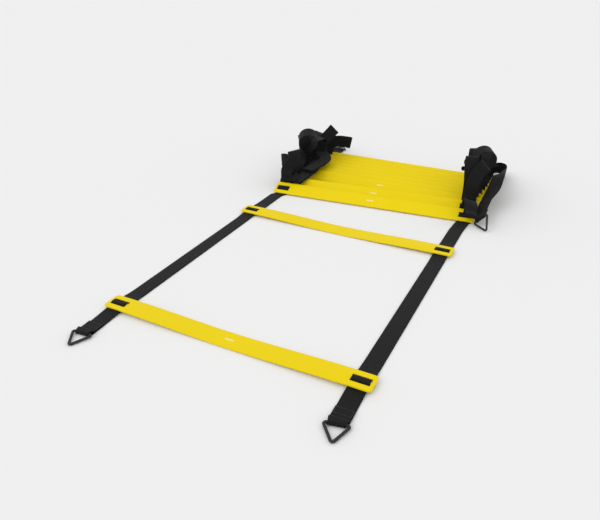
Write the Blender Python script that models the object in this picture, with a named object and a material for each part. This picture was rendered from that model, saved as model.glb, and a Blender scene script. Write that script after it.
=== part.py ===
# Agility ladder: eleven flat plastic rungs threaded on two webbing straps.
# Rungs 1 and 2 lie out in front, rungs 3 to 11 are gathered like fallen dominoes at the back,
# and the webbing between them stands in a heap at each end.
# Metres, +Z up. X runs along the rungs, Y from the front tabs to the pile.

from math import acos, asin, atan2, ceil, cos, hypot, pi, radians, sin

import bmesh
import bpy
import numpy as np
from mathutils import Matrix, Vector
from mathutils.kdtree import KDTree

MM = 0.001

# Rungs
rung_count = 11
rung_length = 419 * MM
rung_width = 31.75 * MM
rung_thickness = 2.6 * MM
rung_corner_radius = 5.0 * MM
slot_width = 4.0 * MM
slot_clearance = 0.5 * MM
centre_bar_width = 5.5 * MM
tip_bar = 4.95 * MM
sag_clearance = 0.4 * MM
sag_stations = 12

# Webbing
webbing_width = 25.4 * MM
webbing_thickness = 1.3 * MM
bay_length = 381 * MM
seat_gap = 0.3 * MM
pass_gap = 0.5 * MM
bend_radius = 2.0 * MM
fold_margin = 8.0 * MM
strap_lift = 2.7 * MM
lift_reach = 45 * MM
eye_width = 22 * MM
hem_length = 22 * MM
tab_length = 78 * MM

# Rings
ring_wire = 3.2 * MM
ring_width = 33 * MM
ring_depth = 30 * MM
ring_corner_radius = 2.6 * MM
front_ring_drop = 1.4 * MM

# Pile
pile_tilt = radians(22.5)
pile_spare = 0.2 * MM
floor_gap = 0.16 * MM
pile_reach = 138.5 * MM
pile_scatter = 6 * MM
fold_lead = 41.5 * MM
rung_3_yaw = radians(5)
rung_4_yaw = radians(6)

# Heaps of slack webbing
heap_base = 25 * MM
heap_height = 100 * MM
foot_rise = 14 * MM
valley_height = 22 * MM
right_bulge = 38 * MM
right_lean_out = 10 * MM
left_lean_out = -8 * MM
front_lean = radians(-6)
back_lean = radians(50)
curl = radians(26)

# Right back tab: it runs forward outside the rungs' tips, and its ring leans on the floor
tail_out = 35 * MM
tail_back = 72 * MM
tail_height = 17 * MM
back_right_ring_lead = 2.5 * MM
back_right_ring_pitch = radians(52)
left_tab_turn = radians(4)
right_tab_turn = radians(12)

# Worked out from the sizes above
half_width = rung_width / 2
slot_length = webbing_width + 2 * slot_clearance
webbing_spacing = rung_length - 2 * tip_bar - slot_length
leg = (centre_bar_width + slot_width) / 2
under = rung_thickness / 2 + seat_gap + webbing_thickness / 2
over = under + webbing_thickness + pass_gap
pile_pitch = (2 * over + pile_spare) / sin(pile_tilt)
pile_centre_height = half_width * sin(pile_tilt) + under + webbing_thickness / 2 + floor_gap
laid_height = webbing_thickness + strap_lift + seat_gap + rung_thickness / 2
laid_sag = laid_height - rung_thickness / 2 - sag_clearance
fold_1 = -half_width - fold_margin
fold_2 = bay_length - half_width - fold_margin
pile_front = bay_length + pile_reach
fold_3 = pile_front - fold_lead
eye_radius = ring_wire / 2 + seat_gap + webbing_thickness / 2

# Pile spacing in shares of the pile's pitch, and sideways places in shares of its scatter
spacing_shares = [0, 1.866, 2.235, 1, 1, 1, 1, 1, 1]
scatter_shares = [0.75, -0.58, -1.0, -0.67, -0.33, 0, 0.17, 0, 0]

# For each bay: the front hump's share of the slack, and the valley's share of its height
left_bay_shares = [(0.55, 0.8), (0.42, 0.9), (0.6, 1), (0.5, 1), (0.4, 1.2), (0.58, 1), (0.45, 1), (0.55, 1)]
right_bay_shares = [(0.72, 0.7), (0.35, 1), (0.62, 1), (0.5, 1), (0.42, 1.2), (0.57, 1), (0.47, 1), (0.45, 1)]
hump_shares = (0.27, 0.52, 0.78)
rise_shares = (0.3, 0.5, 0.7)
fall_shares = (0.67, 0.33)
foot_shares = (0.45, 0.7)

# How high the right heap bulges out, how soon that fades backwards, and the crossing webbing's room
bulge_rise_share = 1.35
bulge_fade_share = 2.2
crossing_room_share = 1.5

# The right back tab's way: sideways, backward and up in shares, with its roll in degrees
tail_turn_shares = [(0.02, 0.3, 1.15, 25), (0.08, 0.65, 1.0, 75), (0.25, 0.93, 0.85, 90),
                    (0.55, 1.0, 0.83, 90), (0.85, 0.87, 0.83, 90), (0.95, 0.5, 0.88, 95)]
tail_run_shares = [(0.95, 0.8, 0.95, 110), (1.0, 0.4, 1.0, 131), (1.0, 0, 1.0, 131)]


def clear_scene():
    for thing in list(bpy.data.objects):
        bpy.data.objects.remove(thing, do_unlink=True)


def material(name, colour, roughness, metallic=0.0):
    made = bpy.data.materials.new(name)
    made.use_nodes = True
    shader = made.node_tree.nodes["Principled BSDF"]
    shader.inputs["Base Color"].default_value = (*colour, 1)
    shader.inputs["Roughness"].default_value = roughness
    shader.inputs["Metallic"].default_value = metallic
    made.diffuse_color = (*colour, 1)
    return made


def add_object(name, mesh, colour_material, location=(0, 0, 0)):
    made = bpy.data.objects.new(name, mesh)
    bpy.context.collection.objects.link(made)
    mesh.materials.clear()
    mesh.materials.append(colour_material)
    made.location = location
    return made


def arc(centre, radius, start, end, steps=3):
    turns = [start + (end - start) * i / steps for i in range(steps + 1)]
    return [(centre[0] + radius * cos(t), centre[1] + radius * sin(t)) for t in turns]


def bezier(p0, p1, p2, p3, steps):
    points = []
    for i in range(steps + 1):
        u = i / steps
        shares = ((1 - u) ** 3, 3 * (1 - u) ** 2 * u, 3 * (1 - u) * u * u, u ** 3)
        points.append(tuple(sum(s * c for s, c in zip(shares, column)) for column in zip(p0, p1, p2, p3)))
    return points


def smooth(u):
    u = min(max(u, 0.0), 1.0)
    return u * u * (3 - 2 * u)


def rounded_rectangle(width, depth, radius, steps):
    points = []
    corners = ((1, 1), (-1, 1), (-1, -1), (1, -1))
    for i, (sx, sy) in enumerate(corners):
        centre = (sx * (width / 2 - radius), sy * (depth / 2 - radius))
        points += arc(centre, radius, i * pi / 2, (i + 1) * pi / 2, steps)
    return points


def box_outline(x, y, width, depth):
    return [(x + sx * width / 2, y + sy * depth / 2) for sx, sy in ((1, 1), (-1, 1), (-1, -1), (1, -1))]


# The rung: one flat moulding with a double slot near each end
def rung_mesh(name, sag):
    outlines = [rounded_rectangle(rung_length, rung_width, rung_corner_radius, 4)]
    for side in (-1, 1):
        for slot in (-1, 1):
            outlines.append(box_outline(side * webbing_spacing / 2, slot * leg, slot_length, slot_width))
    plan = bmesh.new()
    for outline in outlines:
        ring = [plan.verts.new((x, y, -rung_thickness / 2)) for x, y in outline]
        for a, b in zip(ring, ring[1:] + ring[:1]):
            plan.edges.new((a, b))
    bmesh.ops.triangle_fill(plan, use_beauty=True, use_dissolve=False, edges=plan.edges[:])
    if sag > 0:
        inner = webbing_spacing / 2 - slot_length / 2
        for i in range(1, sag_stations):
            x = -inner + 2 * inner * i / sag_stations
            plane = plan.verts[:] + plan.edges[:] + plan.faces[:]
            bmesh.ops.bisect_plane(plan, geom=plane, plane_co=(x, 0, 0), plane_no=(1, 0, 0))
    raised = bmesh.ops.extrude_face_region(plan, geom=plan.faces[:])
    for vert in [v for v in raised["geom"] if isinstance(v, bmesh.types.BMVert)]:
        vert.co.z += rung_thickness
    if sag > 0:
        for vert in plan.verts:
            if abs(vert.co.x) < inner:
                vert.co.z -= sag * cos(pi * vert.co.x / (2 * inner)) ** 2
    bmesh.ops.recalc_face_normals(plan, faces=plan.faces[:])
    mesh = bpy.data.meshes.new(name)
    plan.to_mesh(mesh)
    plan.free()
    return mesh


# Where a rung lies: its centre, its long direction, its width direction and its upper face's direction
class Rung:
    def __init__(self, number, x, y, z, yaw, tilt):
        self.number = number
        self.centre = np.array([x, y, z])
        self.yaw = yaw
        self.tilt = tilt
        self.along = np.array([cos(yaw), sin(yaw), 0])
        flat = np.array([-sin(yaw), cos(yaw), 0])
        up = np.array([0, 0, 1])
        self.across = flat * cos(tilt) + up * sin(tilt)
        self.face = up * cos(tilt) - flat * sin(tilt)

    def at(self, side, v, h):
        return (self.centre + self.along * (side * webbing_spacing / 2)
                + self.across * v + self.face * h)

    def local(self, side, point):
        reach = point - self.at(side, 0, 0)
        return reach @ self.across, reach @ self.face

    def matrix(self):
        columns = np.column_stack([self.along, self.across, self.face, self.centre])
        return Matrix([list(row) for row in columns] + [[0, 0, 0, 1]])


def gathered_rungs():
    yaws = [rung_3_yaw, rung_4_yaw] + [0] * (rung_count - 4)
    y = pile_front
    rungs = []
    for i, (spacing, scatter, yaw) in enumerate(zip(spacing_shares, scatter_shares, yaws)):
        y += spacing * pile_pitch
        rungs.append(Rung(3 + i, scatter * pile_scatter, y, pile_centre_height, yaw, pile_tilt))
    return rungs


def without_repeats(sections):
    kept = sections[:1]
    for section in sections[1:]:
        if np.linalg.norm(section[0] - kept[-1][0]) > webbing_thickness / 10:
            kept.append(section)
    return kept


# A ribbon is a list of sections: a point on its middle line, its width direction and its width
def ribbon_mesh(name, sections):
    sections = without_repeats(sections)
    points = np.array([s[0] for s in sections])
    widths = np.array([s[1] for s in sections], float)
    spans = np.diff(points, axis=0)
    spans /= np.linalg.norm(spans, axis=1)[:, None]
    before = np.vstack([spans[:1], spans])
    after = np.vstack([spans, spans[-1:]])
    middle = before + after
    normals = np.cross(widths, middle)
    normals /= np.linalg.norm(normals, axis=1)[:, None]
    spread = np.sqrt(np.clip((1 + (before * after).sum(1)) / 2, 0.5, 1))
    offsets = normals * (webbing_thickness / 2 / spread)[:, None]
    shape = bmesh.new()
    loops = []
    for (point, width, size), offset in zip(sections, offsets):
        half = np.array(width) / np.linalg.norm(width) * size / 2
        corners = (point - half - offset, point + half - offset, point + half + offset, point - half + offset)
        loops.append([shape.verts.new(c) for c in corners])
    for a, b in zip(loops, loops[1:]):
        for i in range(4):
            j = (i + 1) % 4
            shape.faces.new((a[i], a[j], b[j], b[i]))
    shape.faces.new(loops[0][::-1])
    shape.faces.new(loops[-1])
    bmesh.ops.recalc_face_normals(shape, faces=shape.faces[:])
    mesh = bpy.data.meshes.new(name)
    shape.to_mesh(mesh)
    shape.free()
    return mesh


# The strap's path over a rung's centre bar, as (across, off the face)
def weave_path():
    up = arc((-leg - bend_radius, -under + bend_radius), bend_radius, -pi / 2, 0, 2)
    up += arc((-leg + bend_radius, under - bend_radius), bend_radius, pi, pi / 2, 2)
    return up + [(-v, h) for v, h in reversed(up)]


def short_weave_path():
    up = [(-leg, -rung_thickness / 2)]
    up += arc((-leg + bend_radius, under - bend_radius), bend_radius, pi, pi / 2, 3)
    return up + [(-v, h) for v, h in reversed(up)]


def strap_height(y):
    height = webbing_thickness / 2
    for rung_y in (0, bay_length):
        if abs(y - rung_y) < lift_reach:
            height += strap_lift * cos(pi * (y - rung_y) / (2 * lift_reach)) ** 2
    return height


def flat_strap_sections(side, start, end):
    step = lift_reach / 6
    marks = [start, end]
    for rung_y in (0, bay_length):
        marks += [rung_y + step * i for i in range(-6, 7)]
    places = sorted(y for y in set(marks) if start <= y <= end)
    kept = [places[0]]
    for y in places[1:-1]:
        if y - kept[-1] > step / 2 and places[-1] - y > step / 2:
            kept.append(y)
    kept.append(places[-1])
    x = side * webbing_spacing / 2
    return [(np.array([x, y, strap_height(y)]), np.array([1.0, 0, 0]), webbing_width) for y in kept]


# The sewn eye at a strap's end: the webbing goes round the ring's bar and back along itself.
# The bar is at the origin of (along, up), and the strap comes from along = -infinity, below the bar.
def eye_path():
    back = -hem_length
    below = -eye_radius
    turn = arc((0, 0), eye_radius, -pi / 2, pi / 2, 6)
    closed = below + webbing_thickness + pass_gap
    drop = (-hem_length / 4, eye_radius)
    join = (-hem_length / 2, closed)
    hem = bezier(drop, (drop[0] - hem_length / 8, drop[1]), (join[0] + hem_length / 8, join[1]), join, 4)
    return [(back, below), (-eye_radius, below)] + turn + hem + [(back - hem_length / 4, closed)]


def length_of(points):
    return sum(float(np.linalg.norm(np.array(b) - np.array(a))) for a, b in zip(points, points[1:]))


# Outline of one bay's slack, as (along, up): two humps with a valley between, then down to the next rung
def pleat_path(span, foot, front_hump, rear_hump, valley):
    a, b, c = (span * share for share in hump_shares)
    front_radius = a / 2
    valley_radius = (b - a) / 2
    rear_radius = (c - b) / 2
    floor = valley + valley_radius
    front_top = front_hump - front_radius
    rear_top = rear_hump - rear_radius
    points = [(0, 0), (0, foot_rise / 2)] + [(0, share * front_hump) for share in rise_shares]
    points += arc((front_radius, front_top), front_radius, pi, 0, 5)
    points += [(a, floor + (front_top - floor) * share) for share in fall_shares]
    points += arc((a + valley_radius, floor), valley_radius, pi, 2 * pi, 4)
    points += [(b, floor + (rear_top - floor) * share) for share in fall_shares[::-1]]
    points += arc((b + rear_radius, rear_top), rear_radius, pi, 0, 5)
    points += [(c, foot_rise + (rear_top - foot_rise) * share) for share in fall_shares]
    near, far = (share * foot_rise for share in foot_shares)
    points += bezier((c, foot_rise), (c, near), (foot, far), (foot, 0), 4)
    return points


# The strap's way from the back edge of the rung in front, round this rung's front edge and under it.
# It is the tangent between a circle round that back edge and one round this front edge.
def crossing_path(back_edge, tilt):
    v, h = back_edge
    wide = min(max(h - over, over), crossing_room_share * over)
    across, drop = -half_width - v, -h
    turn = atan2(drop, across) + acos((wide + under) / hypot(across, drop))
    path = arc(back_edge, wide, -tilt, min(turn, -tilt), 3)
    return path + arc((-half_width, 0), under, turn + pi, 3 * pi / 2, 5)


# The whole gathered strap before it is draped: straight humps standing on the pile
def gathered_path(side, rungs, bay_shares):
    first = rungs[0]
    edge = first.at(side, -half_width, -under)
    low = webbing_thickness / 2
    sections = [(np.array([side * webbing_spacing / 2, fold_3 + seat_gap / 2, low]), np.array([1.0, 0, 0]))]
    lead = edge - first.across * half_width / 4
    sections.append((np.array([(lead[0] + sections[0][0][0]) / 2, lead[1], low]), first.along))
    sections.append((edge, first.along))
    for i, rung in enumerate(rungs):
        weave = [(rung.at(side, v, h), rung.along) for v, h in weave_path()]
        sections += weave
        if i + 1 == len(rungs):
            break
        after = rungs[i + 1]
        leaving = [(rung.at(side, v, h), rung.along)
                   for v, h in arc((half_width, 0), under, -pi / 2, -rung.tilt, 3)]
        v, h = after.local(side, rung.at(side, half_width, 0))
        if v > -half_width - under - over - webbing_thickness:
            arrive = crossing_path((v, h), after.tilt)
        else:
            arrive = arc((-half_width, 0), under, pi - after.tilt, 3 * pi / 2, 4)
        arriving = [(after.at(side, a, b), after.along) for a, b in arrive]
        start, end = leaving[-1][0], arriving[0][0]
        level = max(start[2], end[2]) + seat_gap
        foot = hypot(end[0] - start[0], end[1] - start[1])
        span = after.at(side, half_width, 0)[1] + under - start[1]
        used = length_of([p for p, w in weave]) + length_of([p for p, w in leaving])
        slack = bay_length - used - length_of([p for p, w in arriving])
        share, valley_share = bay_shares[i]
        lower, upper = 2 * valley_height, bay_length
        for _ in range(30):
            size = (lower + upper) / 2
            outline = pleat_path(span, foot, size * share, size * (1 - share), valley_height * valley_share)
            bay = []
            for along, up in outline:
                mix = min(along / span, 1)
                point = np.array([start[0] + (end[0] - start[0]) * mix, start[1] + along, level + up])
                bay.append((point, rung.along * (1 - mix) + after.along * mix))
            if length_of([start] + [p for p, w in bay] + [end]) > slack:
                upper = size
            else:
                lower = size
        sections += leaving + bay + arriving
    return sections


# Lays the humps over: they lean and curl backwards more the further back they stand, and bow sideways
def draped(point, side):
    x, y, z = point
    rise = max(z - heap_base, 0)
    back = pile_front + sum(spacing_shares) * pile_pitch
    depth = (y - pile_front) / (back - pile_front)
    lean = front_lean + (back_lean - front_lean) * depth
    rate = curl / heap_height
    angle = lean + rate * rise
    y += (cos(lean) - cos(angle)) / rate
    z += (sin(angle) - sin(lean)) / rate - rise
    share = rise / heap_height
    if side > 0:
        bow = right_bulge * sin(pi * min(share / bulge_rise_share, 1)) * (1 - smooth(depth * bulge_fade_share))
        out = bow + right_lean_out * share
    else:
        out = left_lean_out * share
    return np.array([x + side * out, y, z])


# A strap's end that runs through chosen places, each with its roll, to the ring's bar
def tail_sections(places, steps):
    points = [np.array(p[:3]) for p in places]
    rolls = [p[3] for p in places]
    points = [2 * points[0] - points[1]] + points + [2 * points[-1] - points[-2]]
    rolls = [rolls[0]] + rolls + [rolls[-1]]
    line = []
    for i in range(1, len(points) - 2):
        for k in range(steps):
            u = k / steps
            shares = np.array([-u + 2 * u * u - u ** 3, 2 - 5 * u * u + 3 * u ** 3,
                               u + 4 * u * u - 3 * u ** 3, u ** 3 - u * u]) / 2
            line.append((sum(s * p for s, p in zip(shares, points[i - 1:i + 3])),
                         rolls[i] + (rolls[i + 1] - rolls[i]) * smooth(u)))
    line.append((points[-2], rolls[-2]))
    for point, roll in line:
        point[2] = max(point[2], webbing_thickness / 2)
    sections = []
    for i, (point, roll) in enumerate(line):
        ahead = line[min(i + 1, len(line) - 1)][0] - line[max(i - 1, 0)][0]
        ahead /= np.linalg.norm(ahead)
        level = np.cross(ahead, np.array([0, 0, 1.0]))
        level /= np.linalg.norm(level)
        raised = np.cross(level, ahead)
        sections.append((point, level * cos(roll) + raised * sin(roll)))
    return sections


def eye_sections(bar, heading, width):
    lift = np.cross(width, heading)
    sections = []
    for along, up in eye_path():
        near = smooth((along + hem_length / 2) / (hem_length / 3))
        size = webbing_width + (eye_width - webbing_width) * near
        sections.append((bar + heading * along + lift * up, width, size))
    return sections


# A front tab bends a little sideways in its plane on the way to its ring
def front_tab(side, turn):
    low = webbing_thickness / 2
    reach = tab_length - half_width - fold_margin - seat_gap / 2
    steps = 6
    point = np.array([side * webbing_spacing / 2, fold_1 - seat_gap / 2, 0])
    step = (reach - hem_length) / steps
    sections = []
    for i in range(steps + 1):
        angle = turn * smooth(i / steps)
        heading = np.array([sin(angle), -cos(angle), 0])
        point[2] = strap_height(point[1])
        sections.append((point.copy(), np.array([-cos(angle), -sin(angle), 0]), webbing_width))
        point = point + heading * step
    bar = sections[-1][0] + heading * hem_length
    bar[2] = low + eye_radius
    width = sections[-1][1]
    return sections[:-1] + eye_sections(bar, heading, width), (bar, heading, width)


def left_tail(rung):
    low = webbing_thickness / 2
    start = rung.at(-1, half_width, -under)
    bar_y = rung.centre[1] + tab_length
    clear = hem_length / 4
    places = [(*start, 0), (*(start + rung.across * clear), 0)]
    places.append((start[0], start[1] + 3 * clear, low + start[2] / 4, 0))
    places.append((start[0], start[1] + 5 * clear, low, 0))
    places.append((start[0], bar_y - hem_length - seat_gap, low, 0))
    bar = np.array([start[0], bar_y, low + eye_radius])
    return places, (bar, np.array([0, 1.0, 0]), np.array([1.0, 0, 0]))


def right_tail(rung):
    start = rung.at(1, half_width, -under)
    places = [(*start, 0)]
    for out, back, height, roll in tail_turn_shares:
        places.append((start[0] + out * tail_out, start[1] + back * tail_back, height * tail_height, radians(roll)))
    bar = np.array([start[0] + tail_out, pile_front - back_right_ring_lead, tail_height])
    for out, along, height, roll in tail_run_shares:
        y = bar[1] + hem_length + (start[1] - bar[1] - hem_length) * along
        places.append((start[0] + out * tail_out, y, height * tail_height, radians(roll)))
    roll = radians(tail_run_shares[-1][3])
    heading = np.array([0, -1.0, 0])
    width = np.array([-cos(roll), 0, sin(roll)])
    lift = np.cross(width, heading)
    end = bar - heading * hem_length - lift * eye_radius
    places[-1] = (end[0], end[1] - heading[1] * seat_gap, end[2], roll)
    return places, (bar, heading, width)


def gathered_strap(side, rungs, bay_shares):
    sections = [(draped(p, side), w / np.linalg.norm(w), webbing_width)
                for p, w in gathered_path(side, rungs, bay_shares)]
    places, (bar, heading, width) = left_tail(rungs[-1]) if side < 0 else right_tail(rungs[-1])
    for point, direction in tail_sections(places, 5)[:-1]:
        sections.append((point, direction, webbing_width))
    return sections + eye_sections(bar, heading, width), (bar, heading, width)


# Least gap between parts of a ribbon that lie more than a few thicknesses apart along it
def least_gap(sections):
    tree_points = []
    travelled = 0
    for (p, w, size), (q, v, other) in zip(sections, sections[1:]):
        run = float(np.linalg.norm(q - p))
        cuts = max(1, ceil(run / webbing_thickness))
        for i in range(cuts):
            mix = i / cuts
            point = p * (1 - mix) + q * mix
            width = w * (1 - mix) + v * mix
            width = width / np.linalg.norm(width)
            extent = size * (1 - mix) + other * mix
            for k in range(9):
                tree_points.append((point + width * extent * (k / 8 - 0.5), travelled + run * mix))
        travelled += run
    tree = KDTree(len(tree_points))
    for i, (point, place) in enumerate(tree_points):
        tree.insert(Vector(point), i)
    tree.balance()
    least = 1.0
    where = None
    for point, place in tree_points:
        for found, i, distance in tree.find_range(Vector(point), 3 * webbing_thickness):
            if abs(tree_points[i][1] - place) > 7 * webbing_thickness and distance < least:
                least = distance
                where = point
    return least - webbing_thickness, where


def rounded_corners(corners, radius, steps):
    points = []
    for i, corner in enumerate(corners):
        corner = Vector(corner)
        before = (Vector(corners[i - 1]) - corner).normalized()
        after = (Vector(corners[(i + 1) % len(corners)]) - corner).normalized()
        half_angle = before.angle(after) / 2
        centre = corner + (before + after).normalized() * radius / sin(half_angle)
        start = corner + before * radius / tan_of(half_angle) - centre
        end = corner + after * radius / tan_of(half_angle) - centre
        turn = start.angle(end)
        for k in range(steps + 1):
            share = k / steps
            points.append(centre + (start * sin((1 - share) * turn) + end * sin(share * turn)) / sin(turn))
    return points


def tan_of(angle):
    return sin(angle) / cos(angle)


# The ring's bar lies along X through the origin and its tip points along +Y
def ring_mesh(name):
    radius = ring_corner_radius
    corner = (ring_width - ring_wire) / 2 + radius * (1 / tan_of(pi / 6) - 1)
    depth = ring_depth - ring_wire + radius
    path = rounded_corners([(-corner, 0, 0), (corner, 0, 0), (0, depth, 0)], radius, 4)
    sides = 8
    shape = bmesh.new()
    loops = []
    for i, point in enumerate(path):
        ahead = (path[(i + 1) % len(path)] - path[i - 1]).normalized()
        outward = ahead.cross(Vector((0, 0, 1)))
        loop = []
        for k in range(sides):
            turn = 2 * pi * (k + 0.5) / sides
            offset = outward * cos(turn) + Vector((0, 0, 1)) * sin(turn)
            loop.append(shape.verts.new(point + offset * ring_wire / 2))
        loops.append(loop)
    for i, loop in enumerate(loops):
        other = loops[(i + 1) % len(loops)]
        for k in range(sides):
            j = (k + 1) % sides
            shape.faces.new((loop[k], loop[j], other[j], other[k]))
    bmesh.ops.recalc_face_normals(shape, faces=shape.faces[:])
    mesh = bpy.data.meshes.new(name)
    shape.to_mesh(mesh)
    shape.free()
    mesh.shade_smooth()
    return mesh


def ring_matrix(bar, heading, width, pitch):
    lift = np.cross(width, heading)
    tip = heading * cos(pitch) + lift * sin(pitch)
    face = np.cross(width, tip)
    columns = np.column_stack([width, tip, face, bar])
    return Matrix([list(row) for row in columns] + [[0, 0, 0, 1]])


def place_ribbon(name, sections, colour_material, origin):
    mesh = ribbon_mesh(name, sections)
    mesh.transform(Matrix.Translation(-Vector(origin)))
    return add_object(name, mesh, colour_material, origin)


def main():
    clear_scene()
    plastic = material("yellow_plastic", (0.85, 0.68, 0.01), 0.35)
    webbing = material("dark_webbing", (0.045, 0.045, 0.05), 0.9)
    steel = material("ring_steel", (0.12, 0.12, 0.12), 0.4, 0.8)

    rungs = gathered_rungs()
    flat_mesh = rung_mesh("rung_flat", 0)
    for rung in rungs:
        made = add_object(f"rung_{rung.number:02d}", flat_mesh, plastic)
        made.matrix_world = rung.matrix()
    laid_mesh = rung_mesh("rung_laid", laid_sag)
    for number, y in ((1, 0), (2, bay_length)):
        add_object(f"rung_{number:02d}", laid_mesh, plastic, (0, y, laid_height))

    fold_height_1 = strap_height(fold_1) + webbing_thickness / 2
    fold_height_2 = strap_height(fold_2) + webbing_thickness / 2
    fold_height_3 = strap_height(fold_3) + webbing_thickness / 2
    ring_bars = {}
    ring = ring_mesh("ring")
    for side, word, turn, shares in ((-1, "left", left_tab_turn, left_bay_shares),
                                     (1, "right", right_tab_turn, right_bay_shares)):
        x = side * webbing_spacing / 2
        sections, hold = front_tab(side, turn)
        place_ribbon(f"{word}_front_tab", sections, webbing, (x, fold_1, fold_height_1))
        ring_bars[f"front_{word}_ring"] = (*hold, -asin(front_ring_drop / (ring_depth - ring_wire)))
        sections = flat_strap_sections(side, fold_1 + seat_gap / 2, fold_2 - seat_gap / 2)
        place_ribbon(f"{word}_front_bay_strap", sections, webbing, (x, fold_2, fold_height_2))
        sections = flat_strap_sections(side, fold_2 + seat_gap / 2, fold_3 - seat_gap / 2)
        place_ribbon(f"{word}_rear_bay_strap", sections, webbing, (x, fold_3, fold_height_3))
        sections, hold = gathered_strap(side, rungs, shares)
        place_ribbon(f"{word}_gathered_strap", sections, webbing, (x, fold_3, fold_height_3))
        pitch = -asin(front_ring_drop / (ring_depth - ring_wire)) if side < 0 else back_right_ring_pitch
        ring_bars[f"back_{word}_ring"] = (*hold, pitch)
        gap, where = least_gap(sections)
        print(f"{word} gathered strap: least gap to itself {gap / MM:.2f} mm near {np.round(where, 3)}")
        for number, y in ((1, 0), (2, bay_length)):
            path = [(np.array([x, y + v, laid_height + h]), np.array([1.0, 0, 0]), webbing_width)
                    for v, h in short_weave_path()]
            place_ribbon(f"rung_{number:02d}_{word}_weave", path, webbing, (x, y, laid_height))
    for name, (bar, heading, width, pitch) in ring_bars.items():
        made = add_object(name, ring, steel)
        made.matrix_world = ring_matrix(bar, heading, width, pitch)

    bpy.context.view_layer.update()
    corners = [thing.matrix_world @ vert.co for thing in bpy.data.objects for vert in thing.data.vertices]
    spans = [(min(c[i] for c in corners), max(c[i] for c in corners)) for i in range(3)]
    shift = Vector((-(spans[0][0] + spans[0][1]) / 2, -(spans[1][0] + spans[1][1]) / 2, -spans[2][0]))
    for thing in bpy.data.objects:
        thing.matrix_world = Matrix.Translation(shift) @ thing.matrix_world
    print("size in mm", [round((high - low) / MM, 1) for low, high in spans])
    print("shift in mm", [round(c / MM, 3) for c in shift])
    for word, y, z in (("front tab fold", fold_1, fold_height_1), ("front bay fold", fold_2, fold_height_2),
                       ("rear bay fold", fold_3, fold_height_3)):
        print(word, "y, z", round(y + shift.y, 5), round(z + shift.z, 5))
    for name, (bar, heading, width, pitch) in ring_bars.items():
        print(name, "bar", np.round(bar + np.array(shift), 5), "axis", np.round(width, 5))
    for name in ("rung_01", "rung_02", "rung_03", "rung_11"):
        print(name, "centre", [round(c, 5) for c in bpy.data.objects[name].matrix_world.translation])


main()
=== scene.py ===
# Agility ladder laid out in part: yellow rungs on two dark webbing straps, the rest gathered in a pile.
# Metres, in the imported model's own frame.

from math import acos, asin, atan2, cos, hypot, pi, radians, sin, tan

import bpy
import numpy as np
from mathutils import Matrix, Vector


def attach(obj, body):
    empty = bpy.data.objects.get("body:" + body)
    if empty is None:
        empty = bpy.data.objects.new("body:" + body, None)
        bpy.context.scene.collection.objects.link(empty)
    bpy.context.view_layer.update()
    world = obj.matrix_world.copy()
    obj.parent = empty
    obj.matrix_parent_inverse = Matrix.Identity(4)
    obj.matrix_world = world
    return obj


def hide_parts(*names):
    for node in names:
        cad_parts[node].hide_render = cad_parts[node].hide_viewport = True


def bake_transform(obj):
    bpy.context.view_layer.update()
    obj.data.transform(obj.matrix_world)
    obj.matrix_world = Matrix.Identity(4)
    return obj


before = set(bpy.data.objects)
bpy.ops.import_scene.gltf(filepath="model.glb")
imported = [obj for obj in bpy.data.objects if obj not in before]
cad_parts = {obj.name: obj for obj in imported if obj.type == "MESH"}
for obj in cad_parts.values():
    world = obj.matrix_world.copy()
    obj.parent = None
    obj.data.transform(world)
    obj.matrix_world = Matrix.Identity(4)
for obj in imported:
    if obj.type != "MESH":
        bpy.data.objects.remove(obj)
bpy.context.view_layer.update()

mm = 0.001

# Where the ladder's own drawing origin, the middle of rung 1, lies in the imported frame
ladderPlace = np.array([-0.014517, -0.369362, 0.000021])


# Picking and editing

def deselectAll():
    if bpy.context.mode != "OBJECT":
        bpy.ops.object.mode_set(mode="OBJECT")
    for thing in bpy.context.selected_objects:
        thing.select_set(False)


def choose(*things):
    deselectAll()
    for thing in things:
        thing.select_set(True)
    bpy.context.view_layer.objects.active = things[0]


def startEditing(thing, kind="VERT"):
    choose(thing)
    bpy.ops.object.mode_set(mode="EDIT")
    bpy.ops.mesh.select_mode(type=kind)
    bpy.ops.mesh.select_all(action="SELECT")


def stopEditing():
    bpy.ops.object.mode_set(mode="OBJECT")


def pickFaces(thing, test):
    bpy.ops.mesh.select_mode(type="FACE")
    bpy.ops.mesh.select_all(action="DESELECT")
    bpy.ops.object.mode_set(mode="OBJECT")
    for face in thing.data.polygons:
        face.select = test(face.center)
    bpy.ops.object.mode_set(mode="EDIT")


def pickEdges(thing, test):
    bpy.ops.mesh.select_mode(type="EDGE")
    bpy.ops.mesh.select_all(action="DESELECT")
    bpy.ops.object.mode_set(mode="OBJECT")
    points = thing.data.vertices
    for edge in thing.data.edges:
        edge.select = test(points[edge.vertices[0]].co, points[edge.vertices[1]].co)
    bpy.ops.object.mode_set(mode="EDIT")


def bisectAt(place, normal):
    bpy.ops.mesh.select_all(action="SELECT")
    bpy.ops.mesh.bisect(plane_co=place, plane_no=normal)


def applyModifier(thing, kind, **settings):
    choose(thing)
    made = thing.modifiers.new(kind.lower(), kind)
    for key, value in settings.items():
        setattr(made, key, value)
    bpy.ops.object.modifier_apply(modifier=made.name)


def smoothShade(thing, angle):
    choose(thing)
    bpy.ops.object.shade_smooth_by_angle(angle=radians(angle))


def copyOf(thing, name):
    choose(thing)
    bpy.ops.object.duplicate(linked=False)
    made = bpy.context.object
    made.name = name
    made.data.name = name
    return made


def settle(thing, matrix):
    thing.matrix_world = matrix
    choose(thing)
    bpy.ops.object.transform_apply(location=True, rotation=True, scale=True)


def dress(thing, finish, body, slot, *nodes):
    thing.data.materials.clear()
    thing.data.materials.append(finish)
    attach(thing, body)
    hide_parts(*nodes)


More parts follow.
